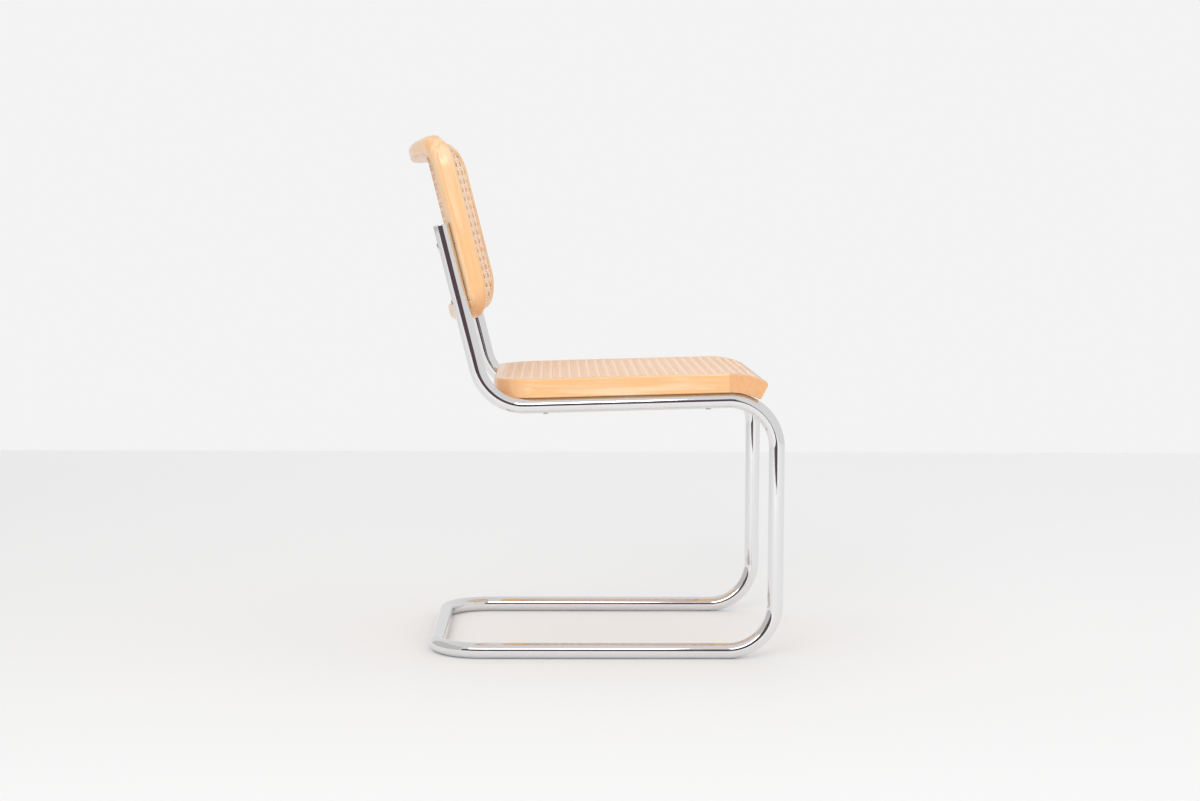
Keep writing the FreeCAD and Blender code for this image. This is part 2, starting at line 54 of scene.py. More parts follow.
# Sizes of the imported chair, in metres and degrees. y is measured from the plane of the front legs.
OVERALL_WIDTH = 0.46
HALF_WIDTH = OVERALL_WIDTH / 2
BEND_RADIUS = 0.075
BASE_DEPTH = 0.537
SEAT_TUBE_HEIGHT = 0.4123
SEAT_TUBE_RUN = 0.4553
SEAT_PITCH = math.radians(1.74)
POST_LEAN = math.radians(14.18)
POST_LENGTH = 0.291
CAP_THICKNESS = 0.0016
CAP_EDGE_ROUND = 0.001
SEATING_DEPTH = 0.0002
SEAT_THICKNESS = 0.030
SEAT_REAR_EDGE = 0.445
SEAT_REAR_CORNER_RADIUS = 0.072
SEAT_PANEL_FRONT_CORNER = 0.012
SEAT_RIM = 0.013
FRONT_JOINT = 0.0756
FRONT_CURVE_RADIUS = 0.128
FRONT_CURVE_ANGLE = math.radians(29.5)
BACK_START = 0.1375
BACK_HEIGHT = 0.294
BACK_THICKNESS = 0.028
BACK_BOW = 0.044
BACK_RIM = 0.013
BACK_TOP_CORNER_RADIUS = 0.055
BACK_BOTTOM_CORNER_RADIUS = 0.060
GROOVE_WIDTH = 0.005
CANE_LIP = 0.0012
CANE_THICKNESS = 0.0015
SPLINE_HEIGHT = 0.0056
LEAST_CORNER = 0.001

# Below these a side counts as parallel to a strand, and two points as one.
PARALLEL = 1e-9
SAME_PLACE = 1e-5


class ChairTubeSettings(bpy.types.PropertyGroup):
    diameter: bpy.props.FloatProperty(
        name="Tube diameter", description="Outside diameter of the bent tube",
        default=0.025, unit="LENGTH")
    colour: bpy.props.FloatVectorProperty(
        name="Chrome", description="Tint of the chrome plating",
        default=(0.84, 0.835, 0.84), subtype="COLOR", min=0.0, max=1.0)
    roughness: bpy.props.FloatProperty(
        name="Chrome roughness", description="How far the plating is from a mirror",
        default=0.03, min=0.0, max=1.0)


class ChairWoodSettings(bpy.types.PropertyGroup):
    light: bpy.props.FloatVectorProperty(
        name="Early wood", description="Pale colour between the grain lines",
        default=(0.94, 0.68, 0.43), subtype="COLOR", min=0.0, max=1.0)
    dark: bpy.props.FloatVectorProperty(
        name="Late wood", description="Colour of the grain lines",
        default=(0.91, 0.52, 0.235), subtype="COLOR", min=0.0, max=1.0)
    end: bpy.props.FloatVectorProperty(
        name="End grain", description="Colour where the fibres are cut across",
        default=(0.80, 0.41, 0.19), subtype="COLOR", min=0.0, max=1.0)


class ChairCaneSettings(bpy.types.PropertyGroup):
    pitch: bpy.props.FloatProperty(
        name="Hole pitch", description="Distance from one hole of the weave to the next",
        default=0.0153, unit="LENGTH")
    width: bpy.props.FloatProperty(
        name="Strand width", description="Width of one cane strand",
        default=0.0031, unit="LENGTH")
    colour: bpy.props.FloatVectorProperty(
        name="Cane", description="Colour of the glossy skin of the cane",
        default=(0.98, 0.765, 0.59), subtype="COLOR", min=0.0, max=1.0)
    streak: bpy.props.FloatVectorProperty(
        name="Cane streak", description="Colour of the darker streaks and knots",
        default=(0.95, 0.66, 0.46), subtype="COLOR", min=0.0, max=1.0)
    # Painted shade: this brown darkens the strands' sides, undersides and crossings, standing in for the
    # shade inside the weave.
    edge: bpy.props.FloatVectorProperty(
        name="Cane edge", description="Colour of the cut edges under the skin",
        default=(0.72, 0.42, 0.26), subtype="COLOR", min=0.0, max=1.0)


class ChairStageSettings(bpy.types.PropertyGroup):
    floor: bpy.props.FloatVectorProperty(
        name="Floor", description="Colour of the studio floor",
        default=(0.91, 0.91, 0.91), subtype="COLOR", min=0.0, max=1.0)
    backdrop: bpy.props.FloatVectorProperty(
        name="Backdrop", description="Colour that shows behind the chair",
        default=(0.896, 0.896, 0.896), subtype="COLOR", min=0.0, max=1.0)
    daylight: bpy.props.FloatProperty(
        name="Daylight", description="Strength of the light from all round",
        default=0.94, min=0.0)
    reflected: bpy.props.FloatProperty(
        name="Reflected studio", description="Brightness of the room that the chrome mirrors",
        default=0.78, min=0.0)


TUBE_RADIUS = 0.0125
LEG_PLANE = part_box("tube_frame")[0].y + TUBE_RADIUS
TUBE_X = HALF_WIDTH - TUBE_RADIUS
SEAT_TOP = TUBE_RADIUS - SEATING_DEPTH + SEAT_THICKNESS
REAR_CORNER = np.array([0.0, SEAT_TUBE_RUN, SEAT_TUBE_HEIGHT - SEAT_TUBE_RUN * math.tan(SEAT_PITCH)])
BACK_REACH = TUBE_RADIUS - SEATING_DEPTH
BACK_DROP = BACK_BOW - BACK_REACH
BACK_REAR_RADIUS = (TUBE_X ** 2 + BACK_DROP ** 2 - BACK_REACH ** 2) / (2 * (BACK_DROP + BACK_REACH))
BACK_FRONT_RADIUS = BACK_REAR_RADIUS - BACK_THICKNESS
BACK_CENTRE_Y = BACK_DROP - BACK_REAR_RADIUS


# Helpers for meshes

def turned(points, angle, origin):
    """Points of a local frame turned by -angle about X, moved to origin, y from the leg plane:
    y' = y cos a + z sin a, z' = z cos a - y sin a."""
    x, y, z = points[..., 0], points[..., 1], points[..., 2]
    out = np.stack([x, y * math.cos(angle) + z * math.sin(angle),
                    z * math.cos(angle) - y * math.sin(angle)], axis=-1)
    return out + np.asarray(origin) + np.array([0.0, LEG_PLANE, 0.0])


def make_piece(name, vertices, faces, material, replaces, uv=None, shade=None):
    """A mesh object at the origin that rides on the chair's one body. uv is a pair and shade is a
    value for each vertex."""
    mesh = bpy.data.meshes.new(name)
    vertices = np.ascontiguousarray(vertices, dtype=np.float32).reshape(-1, 3)
    faces = np.ascontiguousarray(faces, dtype=np.int32).reshape(-1, 4)
    mesh.vertices.add(len(vertices))
    mesh.vertices.foreach_set("co", vertices.ravel())
    mesh.loops.add(faces.size)
    mesh.loops.foreach_set("vertex_index", faces.ravel())
    mesh.polygons.add(len(faces))
    mesh.polygons.foreach_set("loop_start", np.arange(0, faces.size, 4, dtype=np.int32))
    mesh.polygons.foreach_set("use_smooth", np.ones(len(faces), dtype=bool))
    mesh.update(calc_edges=True)
    if uv is not None:
        layer = mesh.uv_layers.new(name="Strand")
        layer.data.foreach_set("uv", np.ascontiguousarray(uv[faces.ravel()], dtype=np.float32).ravel())
    if shade is not None:
        values = mesh.attributes.new("Shade", "FLOAT", "POINT").data
        values.foreach_set("value", np.ascontiguousarray(shade, dtype=np.float32))
    mesh.validate()
    mesh.materials.append(material)
    piece = bpy.data.objects.new(name, mesh)
    bpy.context.scene.collection.objects.link(piece)
    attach(piece, "root")
    for node in replaces:
        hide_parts(node)
    return piece


def grid_faces(rows, columns, close_rows=False, close_columns=False):
    """Quads of a grid: each joins a point to the next in its row and in its column."""
    i = np.arange(rows if close_rows else rows - 1)
    j = np.arange(columns if close_columns else columns - 1)
    i, j = np.meshgrid(i, j, indexing="ij")
    a = i * columns + j
    b = i * columns + (j + 1) % columns
    c = ((i + 1) % rows) * columns + (j + 1) % columns
    d = ((i + 1) % rows) * columns + j
    return np.stack([a, b, c, d], axis=-1).reshape(-1, 4)


def rounded_path(corners, radius, steps):
    """Points of a path with tangent arcs: start + R sin(f) along + R (1 - cos(f)) inward,
    with f from 0 to the turn at each corner. Gives the points and their tangents."""
    corners = np.asarray(corners)
    into = corners[1:-1] - corners[:-2]
    into /= np.linalg.norm(into, axis=1, keepdims=True)
    out = corners[2:] - corners[1:-1]
    out /= np.linalg.norm(out, axis=1, keepdims=True)
    turn = np.arccos(np.clip((into * out).sum(1), -1, 1))
    start = corners[1:-1] - into * (radius * np.tan(turn / 2))[:, None]
    inward = out - into * (into * out).sum(1, keepdims=True)
    inward /= np.linalg.norm(inward, axis=1, keepdims=True)
    f = (turn[:, None] * np.linspace(0, 1, steps)[None, :])[..., None]
    points = (start[:, None] + radius * np.sin(f) * into[:, None]
              + radius * (1 - np.cos(f)) * inward[:, None])
    tangents = np.cos(f) * into[:, None] + np.sin(f) * inward[:, None]
    points = np.concatenate([corners[:1], points.reshape(-1, 3), corners[-1:]])
    tangents = np.concatenate([into[:1], tangents.reshape(-1, 3), out[-1:]])
    return points, tangents


# Materials. The grain's scales are in cycles per metre, along the fibres and across them.

GRAIN_BANDS = (5.0, 90.0, 90.0)
GRAIN_LINES = (8.0, 330.0, 330.0)
GRAIN_FIBRES = (40.0, 1500.0, 1500.0)
GRAIN_DASHES = (260.0, 1900.0, 1900.0)
GRAIN_PORES = (900.0, 1400.0, 1400.0)
GRAIN_TONE = 7.0
CANE_STREAKS = (9.0, 900.0, 1.0)
CANE_TONES = (5.0, 23.0, 1.0)
CANE_KNOTS = (95.0, 31.0, 1.0)
CHROME_HAZE = 35.0
CHROME_SPECKS = 620.0
CHROME_SPECK_COLOUR = (0.42, 0.39, 0.36)
SCREW_ROUGHNESS = 0.22
SCREW_COLOUR = (0.62, 0.61, 0.60)
# Painted shade: the back screws' shanks get this brown, standing in for the shade in the gap between
# post and stile.
SCREW_SHANK_SHADE = (0.42, 0.29, 0.17)
SCREW_SHANK_REACH = 0.8
UNSET_COLOUR = (0.8, 0.5, 0.3, 1.0)


def node_tree(material):
    material.use_nodes = True
    tree = material.node_tree
    shader = tree.nodes["Principled BSDF"]
    return tree, shader


def add_node(tree, kind, x=0, y=0, **settings):
    node = tree.nodes.new(kind)
    node.location = (x, y)
    for key, value in settings.items():
        setattr(node, key, value)
    return node


def math_node(tree, operation, a, b=None, clamp=False):
    node = add_node(tree, "ShaderNodeMath", operation=operation, use_clamp=clamp)
    for socket, value in zip(node.inputs, (a, b)):
        if value is None:
            continue
        if isinstance(value, (int, float)):
            socket.default_value = value
        else:
            tree.links.new(value, socket)
    return node.outputs[0]


def ramp(tree, value, low, high):
    """A straight ramp: 0 at low, 1 at high."""
    node = add_node(tree, "ShaderNodeMapRange")
    node.inputs["From Min"].default_value = low
    node.inputs["From Max"].default_value = high
    tree.links.new(value, node.inputs["Value"])
    return node.outputs["Result"]


def scaled_ramp(tree, value, low, high, top):
    """A straight ramp: 0 at low, top at high."""
    return math_node(tree, "MULTIPLY", ramp(tree, value, low, high), top)


def grey(tree, value):
    """The grey colour of a value."""
    node = add_node(tree, "ShaderNodeCombineColor")
    for socket in node.inputs[:3]:
        tree.links.new(value, socket)
    return node.outputs[0]


def mix_colour(tree, factor, a, b, blend="MIX"):
    node = add_node(tree, "ShaderNodeMix", data_type="RGBA", blend_type=blend)
    sockets = [s for s in node.inputs if s.enabled]
    for socket, value in zip(sockets, (factor, a, b)):
        if isinstance(value, (int, float)):
            socket.default_value = value
        elif isinstance(value, tuple):
            socket.default_value = (*value, 1.0)
        else:
            tree.links.new(value, socket)
    return [s for s in node.outputs if s.enabled][0]


def noise(tree, vector, scale, detail=2.0, roughness=0.5, distortion=0.0):
    node = add_node(tree, "ShaderNodeTexNoise")
    node.inputs["Scale"].default_value = scale
    node.inputs["Detail"].default_value = detail
    node.inputs["Roughness"].default_value = roughness
    node.inputs["Distortion"].default_value = distortion
    tree.links.new(vector, node.inputs["Vector"])
    return node.outputs["Fac"]


def stretched(tree, vector, scale):
    node = add_node(tree, "ShaderNodeVectorMath", operation="MULTIPLY")
    tree.links.new(vector, node.inputs[0])
    node.inputs[1].default_value = scale
    return node.outputs[0]


def group_tree(name, inputs, outputs):
    """A shader node group with named sockets; each is (name, kind, default)."""
    tree = bpy.data.node_groups.new(name, "ShaderNodeTree")
    for label, kind, default in inputs:
        socket = tree.interface.new_socket(name=label, in_out="INPUT", socket_type=kind)
        if default is not None:
            socket.default_value = default
    for label, kind in outputs:
        tree.interface.new_socket(name=label, in_out="OUTPUT", socket_type=kind)
    source = add_node(tree, "NodeGroupInput", -1200, 0)
    sink = add_node(tree, "NodeGroupOutput", 800, 0)
    return tree, source, sink


def grain_group():
    """Lacquered beech. The fibres run along X of the vector that comes in. Broad growth bands are a
    noise stretched along the fibres, fine fibres a tighter one, and rays are short dark dashes.
    Where the surface cuts the fibres across, the end colour and its pores take over."""
    name = "beech_grain"
    if name in bpy.data.node_groups:
        return bpy.data.node_groups[name]
    tree, source, sink = group_tree(
        name,
        [("Vector", "NodeSocketVector", None), ("Normal along", "NodeSocketFloat", 0.0),
         ("Early", "NodeSocketColor", UNSET_COLOUR), ("Late", "NodeSocketColor", UNSET_COLOUR),
         ("End", "NodeSocketColor", UNSET_COLOUR)],
        [("Color", "NodeSocketColor"), ("Roughness", "NodeSocketFloat"), ("Height", "NodeSocketFloat")])
    vector = source.outputs["Vector"]
    bands = noise(tree, stretched(tree, vector, GRAIN_BANDS), 1.0, 3.0, 0.5, 0.8)
    lines = noise(tree, stretched(tree, vector, GRAIN_LINES), 1.0, 3.0, 0.6, 0.4)
    fibres = noise(tree, stretched(tree, vector, GRAIN_FIBRES), 1.0, 2.0, 0.6)
    dashes = noise(tree, stretched(tree, vector, GRAIN_DASHES), 1.0, 1.0, 0.5)
    pores = noise(tree, stretched(tree, vector, GRAIN_PORES), 1.0, 2.0, 0.6)
    tone = noise(tree, vector, GRAIN_TONE, 2.0, 0.5)
    figure = scaled_ramp(tree, bands, 0.40, 0.56, 0.75)
    figure = math_node(tree, "ADD", figure, scaled_ramp(tree, lines, 0.4, 0.7, 0.2))
    figure = math_node(tree, "ADD", figure, scaled_ramp(tree, tone, 0.35, 0.7, 0.25), clamp=True)
    face = mix_colour(tree, figure, source.outputs["Early"], source.outputs["Late"])
    face = mix_colour(tree, scaled_ramp(tree, dashes, 0.62, 0.74, 0.28), face, source.outputs["End"])
    fine = math_node(tree, "ADD", math_node(tree, "MULTIPLY", fibres, 0.16), 0.92)
    across = ramp(tree, source.outputs["Normal along"], 0.2, 0.65)
    end = mix_colour(tree, scaled_ramp(tree, pores, 0.45, 0.75, 0.35), source.outputs["End"],
                     source.outputs["Late"])
    end = mix_colour(tree, scaled_ramp(tree, bands, 0.4, 0.6, 0.35), end, source.outputs["Late"])
    body = mix_colour(tree, across, face, end)
    body = mix_colour(tree, 1.0, body, grey(tree, fine), "MULTIPLY")
    tree.links.new(body, sink.inputs["Color"])
    rough = math_node(tree, "ADD", math_node(tree, "MULTIPLY", lines, 0.16), 0.24)
    tree.links.new(rough, sink.inputs["Roughness"])
    height = math_node(tree, "ADD", math_node(tree, "MULTIPLY", fibres, 0.5),
                       math_node(tree, "MULTIPLY", lines, 0.5))
    tree.links.new(height, sink.inputs["Height"])
    return tree


def wood_material(name, rotation, axis, offset, both_ends):
    """Beech whose fibres run along axis. The coordinates are turned so that axis becomes X. The end
    colour comes on faces towards the axis, and towards its other end too where both_ends is set."""
    wood = bpy.context.scene.chair_wood
    material = bpy.data.materials.new(name)
    tree, shader = node_tree(material)
    place = add_node(tree, "ShaderNodeTexCoord", -900, 0)
    mapping = add_node(tree, "ShaderNodeMapping", -700, 0)
    mapping.inputs["Rotation"].default_value = rotation
    mapping.inputs["Location"].default_value = offset
    tree.links.new(place.outputs["Object"], mapping.inputs["Vector"])
    normal = add_node(tree, "ShaderNodeNewGeometry", -900, -300)
    along = add_node(tree, "ShaderNodeVectorMath", -700, -300, operation="DOT_PRODUCT")
    along.inputs[1].default_value = axis
    tree.links.new(normal.outputs["Normal"], along.inputs[0])
    group = add_node(tree, "ShaderNodeGroup", -450, 0, node_tree=grain_group())
    group.inputs["Early"].default_value = (*wood.light, 1.0)
    group.inputs["Late"].default_value = (*wood.dark, 1.0)
    group.inputs["End"].default_value = (*wood.end, 1.0)
    tree.links.new(mapping.outputs["Vector"], group.inputs["Vector"])
    facing = along.outputs["Value"]
    if both_ends:
        facing = math_node(tree, "ABSOLUTE", facing)
    tree.links.new(facing, group.inputs["Normal along"])
    bump = add_node(tree, "ShaderNodeBump", -200, -250)
    bump.inputs["Strength"].default_value = 0.12
    bump.inputs["Distance"].default_value = 0.0004
    tree.links.new(group.outputs["Height"], bump.inputs["Height"])
    tree.links.new(group.outputs["Color"], shader.inputs["Base Color"])
    tree.links.new(group.outputs["Roughness"], shader.inputs["Roughness"])
    tree.links.new(bump.outputs["Normal"], shader.inputs["Normal"])
    shader.inputs["Coat Weight"].default_value = 0.55
    shader.inputs["Coat Roughness"].default_value = 0.16
    return material


def post_screw_material():
    """Plated head and a shank painted dark brown: painted shade for the gap between post and stile.
    The shank is what lies further than most of a tube radius from the post's axis towards the wood:
    n.p less than n.axis - k r, with n square to the post."""
    material = chrome_material("post_screw", SCREW_ROUGHNESS, SCREW_COLOUR)
    tree, shader = node_tree(material)
    place = add_node(tree, "ShaderNodeTexCoord", -900, -500)
    along = add_node(tree, "ShaderNodeVectorMath", -700, -500, operation="DOT_PRODUCT")
    along.inputs[1].default_value = (0.0, math.cos(POST_LEAN), -math.sin(POST_LEAN))
    tree.links.new(place.outputs["Object"], along.inputs[0])
    axis = (REAR_CORNER[1] + LEG_PLANE) * math.cos(POST_LEAN) - REAR_CORNER[2] * math.sin(POST_LEAN)
    sunk = math_node(tree, "LESS_THAN", along.outputs["Value"],
                     axis - SCREW_SHANK_REACH * TUBE_RADIUS)
    tint = shader.inputs["Base Color"].links[0].from_socket
    # Painted shade on the shank where it lies in the gap towards the wood.
    tree.links.new(mix_colour(tree, sunk, tint, SCREW_SHANK_SHADE), shader.inputs["Base Color"])
    return material


def chrome_material(name, roughness, colour):
    """Plating with faint wiping marks: a noise that lifts the roughness here and there."""
    material = bpy.data.materials.new(name)
    tree, shader = node_tree(material)
    place = add_node(tree, "ShaderNodeTexCoord", -900, 0)
    haze = noise(tree, place.outputs["Object"], CHROME_HAZE, 4.0, 0.6)
    speck = ramp(tree, noise(tree, place.outputs["Object"], CHROME_SPECKS, 2.0, 0.5), 0.70, 0.78)
    rough = scaled_ramp(tree, haze, 0.45, 0.8, 0.08)
    rough = math_node(tree, "ADD", rough, math_node(tree, "MULTIPLY", speck, 0.25))
    rough = math_node(tree, "ADD", rough, roughness)
    tree.links.new(rough, shader.inputs["Roughness"])
    tint = mix_colour(tree, math_node(tree, "MULTIPLY", speck, 0.35), colour, CHROME_SPECK_COLOUR)
    tree.links.new(tint, shader.inputs["Base Color"])
    shader.inputs["Metallic"].default_value = 1.0
    return material


def cane_material(name, colour, streak, edge):
    """Cane skin: long streaks along each strand, a tone of its own for each strand, dark knots, and
    painted shade: the edge colour on the strands' sides, undersides and crossings."""
    material = bpy.data.materials.new(name)
    tree, shader = node_tree(material)
    place = add_node(tree, "ShaderNodeUVMap", -1100, 0, uv_map="Strand")
    streaks = noise(tree, stretched(tree, place.outputs["UV"], CANE_STREAKS), 1.0, 3.0, 0.6)
    tones = noise(tree, stretched(tree, place.outputs["UV"], CANE_TONES), 1.0, 1.0, 0.5)
    knots = noise(tree, stretched(tree, place.outputs["UV"], CANE_KNOTS), 1.0, 1.0, 0.5)
    amount = math_node(tree, "ADD", scaled_ramp(tree, streaks, 0.35, 0.75, 0.4),
                       scaled_ramp(tree, tones, 0.35, 0.75, 0.35), clamp=True)
    amount = math_node(tree, "ADD", amount, scaled_ramp(tree, knots, 0.72, 0.8, 0.5), clamp=True)
    skin = mix_colour(tree, amount, colour, streak)
    shade = add_node(tree, "ShaderNodeAttribute", -1100, -300, attribute_name="Shade")
    # Painted shade: the Shade attribute mixes in the brown towards the strands' sides, undersides and
    # crossings.
    skin = mix_colour(tree, scaled_ramp(tree, shade.outputs["Fac"], 0.35, 1.0, 0.35), skin, edge)
    tree.links.new(skin, shader.inputs["Base Color"])
    rough = math_node(tree, "ADD", math_node(tree, "MULTIPLY", streaks, 0.2), 0.38)
    tree.links.new(rough, shader.inputs["Roughness"])
    bump = add_node(tree, "ShaderNodeBump", -200, -250)
    bump.inputs["Strength"].default_value = 0.2
    bump.inputs["Distance"].default_value = 0.0002
    tree.links.new(streaks, bump.inputs["Height"])
    tree.links.new(bump.outputs["Normal"], shader.inputs["Normal"])
    shader.inputs["Coat Weight"].default_value = 0.12
    shader.inputs["Coat Roughness"].default_value = 0.3
    return material


# Tube, caps and screws

def tube_surface(radius, steps=28, around=96):
    """A circle of the tube's radius carried along the right half of its path, and its mirror image.
    In the upright loops the circle's first axis stays along X; past the base corner the second
    axis stays along -Z."""
    up = np.array([0.0, math.sin(POST_LEAN), math.cos(POST_LEAN)])
    side = np.array([-TUBE_X, 0.0, 0.0])
    corners = np.array([
        side + REAR_CORNER + up * POST_LENGTH,
        side + REAR_CORNER,
        side + (0, 0, SEAT_TUBE_HEIGHT),
        side + (0, 0, radius),
        side + (0, BASE_DEPTH, radius),
        (0, BASE_DEPTH, radius)])
    points, tangents = rounded_path(corners, BEND_RADIUS, steps)
    flat = np.arange(len(points)) >= 1 + 3 * steps
    first = np.where(flat[:, None], np.cross((0.0, 0.0, -1.0), tangents), (1.0, 0.0, 0.0))
    second = np.cross(tangents, first)
    angle = np.linspace(0, 2 * math.pi, around, endpoint=False)
    ring = (np.cos(angle)[None, :, None] * first[:, None]
            + np.sin(angle)[None, :, None] * second[:, None])
    half = points[:, None] + radius * ring
    whole = np.concatenate([half, half[:-1][::-1] * (-1.0, 1.0, 1.0)])
    whole = whole + (0, LEG_PLANE, 0)
    return whole, grid_faces(len(whole), around, close_columns=True)


def cap_surface(side, radius, steps=10, around=96):
    """A turned disc: a nearly flat crown, a quarter round of the cap's edge radius, a short wall."""
    edge = CAP_EDGE_ROUND
    f = np.linspace(0, math.pi / 2, steps)
    r = np.concatenate([[0.0002, radius * 0.5], radius - edge + edge * np.sin(f),
                        [radius, radius * 0.8]])
    z = np.concatenate([[CAP_THICKNESS, CAP_THICKNESS], CAP_THICKNESS - edge + edge * np.cos(f),
                        [0.0, 0.0]])
    angle = np.linspace(0, 2 * math.pi, around, endpoint=False)
    points = np.stack([r[:, None] * np.cos(angle), r[:, None] * np.sin(angle),
                       np.repeat(z[:, None], around, 1)], axis=-1)
    points = points + (side * TUBE_X, 0, POST_LENGTH)
    return turned(points, POST_LEAN, REAR_CORNER), grid_faces(len(r), around, close_columns=True)


class CHAIR_OT_tube(bpy.types.Operator):
    """Chromed steel tube, bent in one run, with a cap on each post"""
    bl_idname = "chair.tube"
    bl_label = "Bent tube and caps"

    def execute(self, context):
        tube = context.scene.chair_tube
        radius = tube.diameter / 2
        chrome = chrome_material("chrome", tube.roughness, tuple(tube.colour))
        points, faces = tube_surface(radius)
        make_piece("chromed_tube", points, faces, chrome, ["tube_frame"])
        for name, side in (("left", 1), ("right", -1)):
            points, faces = cap_surface(side, radius)
            make_piece("chromed_cap_" + name, points, faces, chrome, ["post_cap_" + name])
        return {"FINISHED"}


class CHAIR_OT_screws(bpy.types.Operator):
    """Finish of the screws that hold the wood to the tube"""
    bl_idname = "chair.screws"
    bl_label = "Screws"

    def execute(self, context):
        finishes = {"seat_screws": chrome_material("seat_screw", SCREW_ROUGHNESS, SCREW_COLOUR),
                    "back_screws": post_screw_material()}
        for name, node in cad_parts.items():
            for prefix, finish in finishes.items():
                if name.startswith(prefix):
                    node.data.materials.clear()
                    node.data.materials.append(finish)
        return {"FINISHED"}


# Wood

WOOD_ALONG_Y = ("seat_side_rail_left", "seat_side_rail_right")
WOOD_ALONG_X = ("seat_front_rail", "seat_rear_rail", "back_top_rail", "back_bottom_rail")
WOOD_ALONG_POST = ("back_stile_left", "back_stile_right")


class CHAIR_OT_wood(bpy.types.Operator):
    """Lacquered beech on the rails, the stiles and the dowels"""
    bl_idname = "chair.wood"
    bl_label = "Seat and back frames"

    def execute(self, context):
        quarter = math.pi / 2
        down = (0.0, -math.sin(POST_LEAN), -math.cos(POST_LEAN))
        along_y = wood_material("beech_along", (0, 0, -quarter), (0, 1, 0), (0.4, 0.1, 0.03), False)
        along_x = wood_material("beech_across", (0, 0, 0), (1, 0, 0), (1.7, 0.25, 0.6), True)
        along_post = wood_material("beech_upright", (POST_LEAN, quarter, 0), down, (2.9, 0.8, 0.3),
                                   False)
        for names, material in ((WOOD_ALONG_Y, along_y), (WOOD_ALONG_X, along_x),
                                (WOOD_ALONG_POST, along_post)):
            for name in names:
                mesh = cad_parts[name].data
                mesh.materials.clear()
                mesh.materials.append(material)
        for name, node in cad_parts.items():
            if "dowels" in name:
                node.data.materials.clear()
                node.data.materials.append(along_x)
        return {"FINISHED"}


# Woven cane. A strand's section is flat below and domed on top, in widths and thicknesses, and
# STRAND_SHADE gives each of its points a painted shade: 1 at the lower corners, 0 on the crown.

STRAND_SECTION = np.array([(-0.5, -0.5), (0.0, -0.5), (0.5, -0.5), (0.47, 0.15), (0.0, 0.5),
                           (-0.47, 0.15)])
STRAND_SHADE = np.array([1.0, 0.3, 1.0, 0.35, 0.0, 0.35])
# Painted shade added where a strand passes under another.
UNDER_SHADE = 0.6
END_TILTS = (1.57, 0.8)
PAIR_SPACING = 0.58
SLANT_STEEPNESS = 1.5
SLANT_STEPS = 8


def seat_surface(x, s, depth):
    """A point of the seat: s runs to the rear over the flat top and, before the front joint, round
    the rolled front, where its angle is (joint - s) / R. depth is measured below the top face."""
    angle = np.maximum(FRONT_JOINT - s, 0) / FRONT_CURVE_RADIUS
    radius = FRONT_CURVE_RADIUS - depth
    y = np.maximum(s, FRONT_JOINT) - radius * np.sin(angle)
    z = SEAT_TOP - FRONT_CURVE_RADIUS + radius * np.cos(angle)
    return turned(np.stack([x, y, z], axis=-1), SEAT_PITCH, (0, 0, SEAT_TUBE_HEIGHT))


def back_surface(s, z, depth):
    """A point of the back: s runs round the bowed front face at the angle s / R, z up the posts.
    depth is measured behind the front face."""
    angle = s / BACK_FRONT_RADIUS
    radius = BACK_FRONT_RADIUS + depth
    x = radius * np.sin(angle)
    y = BACK_CENTRE_Y + radius * np.cos(angle)
    return turned(np.stack([x, y, z], axis=-1), POST_LEAN, REAR_CORNER)


def rounded_outline(half, low, high, low_radius, high_radius, steps):
    """Corner arcs of a rectangle, in turn from the lower right: centre + r (cos f, sin f), each
    followed by points of the straight side to the next arc: end + t (start - end)."""
    centres = np.array([[half - low_radius, low + low_radius], [half - high_radius, high - high_radius],
                        [high_radius - half, high - high_radius], [low_radius - half, low + low_radius]])
    radii = np.array([low_radius, high_radius, high_radius, low_radius])
    starts = np.array([-math.pi / 2, 0.0, math.pi / 2, math.pi])
    f = starts[:, None] + np.linspace(0, math.pi / 2, steps)[None, :]
    arcs = np.stack([centres[:, :1] + radii[:, None] * np.cos(f),
                     centres[:, 1:] + radii[:, None] * np.sin(f)], axis=-1)
    t = np.linspace(0, 1, 2 * steps)[1:-1, None]
    sides = arcs[:, -1:] + t * (np.roll(arcs[:, :1], -1, axis=0) - arcs[:, -1:])
    return np.concatenate([arcs, sides], axis=1).reshape(-1, 2)


def seat_outline(inset, steps=24):
    """Outline of the seat panel at an inset from the groove's outer wall."""
    rim = FRONT_CURVE_ANGLE - SEAT_RIM / FRONT_CURVE_RADIUS
    low = FRONT_JOINT - FRONT_CURVE_RADIUS * rim + inset
    return rounded_outline(
        HALF_WIDTH - SEAT_RIM - inset, low, SEAT_REAR_EDGE - SEAT_RIM - inset,
        max(SEAT_PANEL_FRONT_CORNER - inset, LEAST_CORNER),
        SEAT_REAR_CORNER_RADIUS - SEAT_RIM - inset, steps)


def back_outline(inset, steps=24):
    """Outline of the back panel, its x turned into length round the bow: R asin(x / R)."""
    edge = BACK_RIM + inset
    outline = rounded_outline(
        HALF_WIDTH - edge, BACK_START + edge, BACK_START + BACK_HEIGHT - edge,
        BACK_BOTTOM_CORNER_RADIUS - edge, BACK_TOP_CORNER_RADIUS - edge, steps)
    outline[:, 0] = BACK_FRONT_RADIUS * np.arcsin(outline[:, 0] / BACK_FRONT_RADIUS)
    return outline


